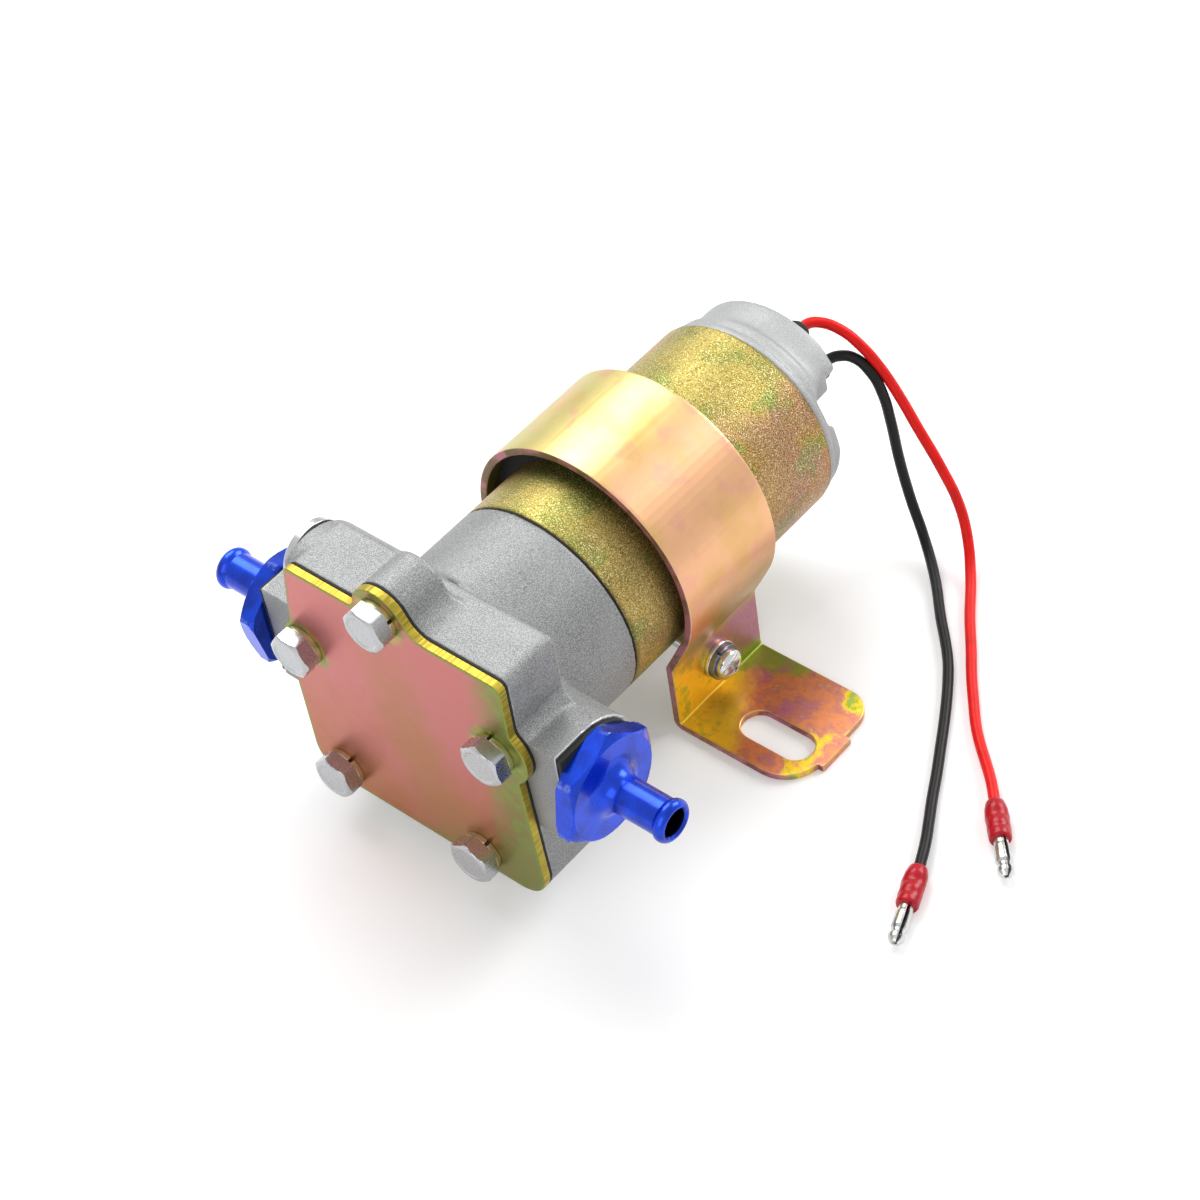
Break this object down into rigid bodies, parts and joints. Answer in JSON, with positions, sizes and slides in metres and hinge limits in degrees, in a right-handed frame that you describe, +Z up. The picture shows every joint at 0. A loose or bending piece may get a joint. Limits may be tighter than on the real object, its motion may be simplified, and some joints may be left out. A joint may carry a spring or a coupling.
{
  "type": "electric fuel pump",
  "caption": "Electric fuel pump: vane pump head with bolted cover and side hose fittings on a round motor, in a strap bracket with slotted feet, with two wires ending in bullet terminals.",
  "frame": {"origin": "midway between the two foot slots, on the floor under the feet", "axes": "+X to the right-hand hose fitting, +Y along the motor from the cover plate to the wires, +Z up off the feet"},
  "size_m": [0.1808, 0.1547, 0.0883],
  "materials": {
    "chromate_plate": "satin",
    "chromate_case": "satin",
    "chromate_strap": "satin",
    "cast_alloy": "satin",
    "machined_alloy": "satin",
    "blue_anodised": "gloss",
    "zinc_bolt": "satin",
    "washer_gold": "satin",
    "bright_steel": "gloss",
    "tool_steel": "satin",
    "spring_steel": "satin",
    "core_steel": "satin",
    "chrome_screw": "gloss",
    "bronze": "satin",
    "brass_strip": "satin",
    "copper": "satin",
    "tinned_brass": "gloss",
    "magnet": "matte",
    "carbon": "matte",
    "phenolic": "matte",
    "gasket_black": "matte",
    "rubber_black": "matte",
    "lead_sheath": "gloss",
    "red_pvc": "gloss",
    "black_pvc": "gloss",
    "crimp_red": "gloss"
  },
  "bodies": {
    "frame": {"cover_plate": "chromate_plate", "cover_gasket": "gasket_black", "cover_bolts": "zinc_bolt", "cover_lock_washers": "washer_gold", "pump_head": "cast_alloy", "relief_cap": "bright_steel", "relief_cap_gasket": "gasket_black", "relief_spring": "spring_steel", "inlet_fitting": "blue_anodised", "outlet_fitting": "blue_anodised", "port_seals": "gasket_black", "cam_ring": "machined_alloy", "shaft_seal": "rubber_black", "front_bush": "bronze", "motor_case": "chromate_case", "case_gasket": "gasket_black", "field_magnets": "magnet", "end_bell": "cast_alloy", "rear_bush": "bronze", "thrust_ball": "tool_steel", "brush_plate": "phenolic", "brush_holders": "brass_strip", "brush_spring_a": "spring_steel", "brush_spring_b": "spring_steel", "brush_leads": "lead_sheath", "motor_tie_bolts": "zinc_bolt", "strap_bracket": "chromate_strap", "strap_liner": "rubber_black", "clamp_screw": "chrome_screw", "clamp_spring_washer": "spring_steel", "clamp_flat_washer": "chrome_screw", "clamp_nut": "zinc_bolt", "wire_grommets": "rubber_black", "red_wire": "red_pvc", "black_wire": "black_pvc", "red_sleeve": "crimp_red", "black_sleeve": "crimp_red", "red_bullet": "tinned_brass", "black_bullet": "tinned_brass"},
    "armature": {"armature_shaft": "tool_steel", "armature_core": "core_steel", "armature_winding": "copper", "commutator": "copper", "pump_rotor": "machined_alloy", "rotor_vanes": "carbon", "rotor_key": "tool_steel"},
    "relief_valve": {"relief_piston": "tool_steel"},
    "brush_left": {"brush_b": "carbon"},
    "brush_right": {"brush_a": "carbon"}
  },
  "joints": [
    {"name": "armature_spin", "type": "hinge", "parent": "frame", "child": "armature", "pos_m": [0, 0, 0.043], "axis": [0, 1, 0], "continuous": true},
    {"name": "relief_lift", "type": "slide", "parent": "frame", "child": "relief_valve", "axis": [-1, 0, 0], "range_m": [0, 0.003], "stiffness_N_per_m": 1500, "springref_m": -0.004, "deforming": ["relief_spring"]},
    {"name": "brush_lift_left", "type": "slide", "parent": "frame", "child": "brush_left", "axis": [-1, 0, 0], "range_m": [0, 0.0015], "stiffness_N_per_m": 300, "springref_m": -0.003, "deforming": ["brush_spring_b"]},
    {"name": "brush_lift_right", "type": "slide", "parent": "frame", "child": "brush_right", "axis": [1, 0, 0], "range_m": [0, 0.0015], "stiffness_N_per_m": 300, "springref_m": -0.003, "deforming": ["brush_spring_a"]}
  ]
}
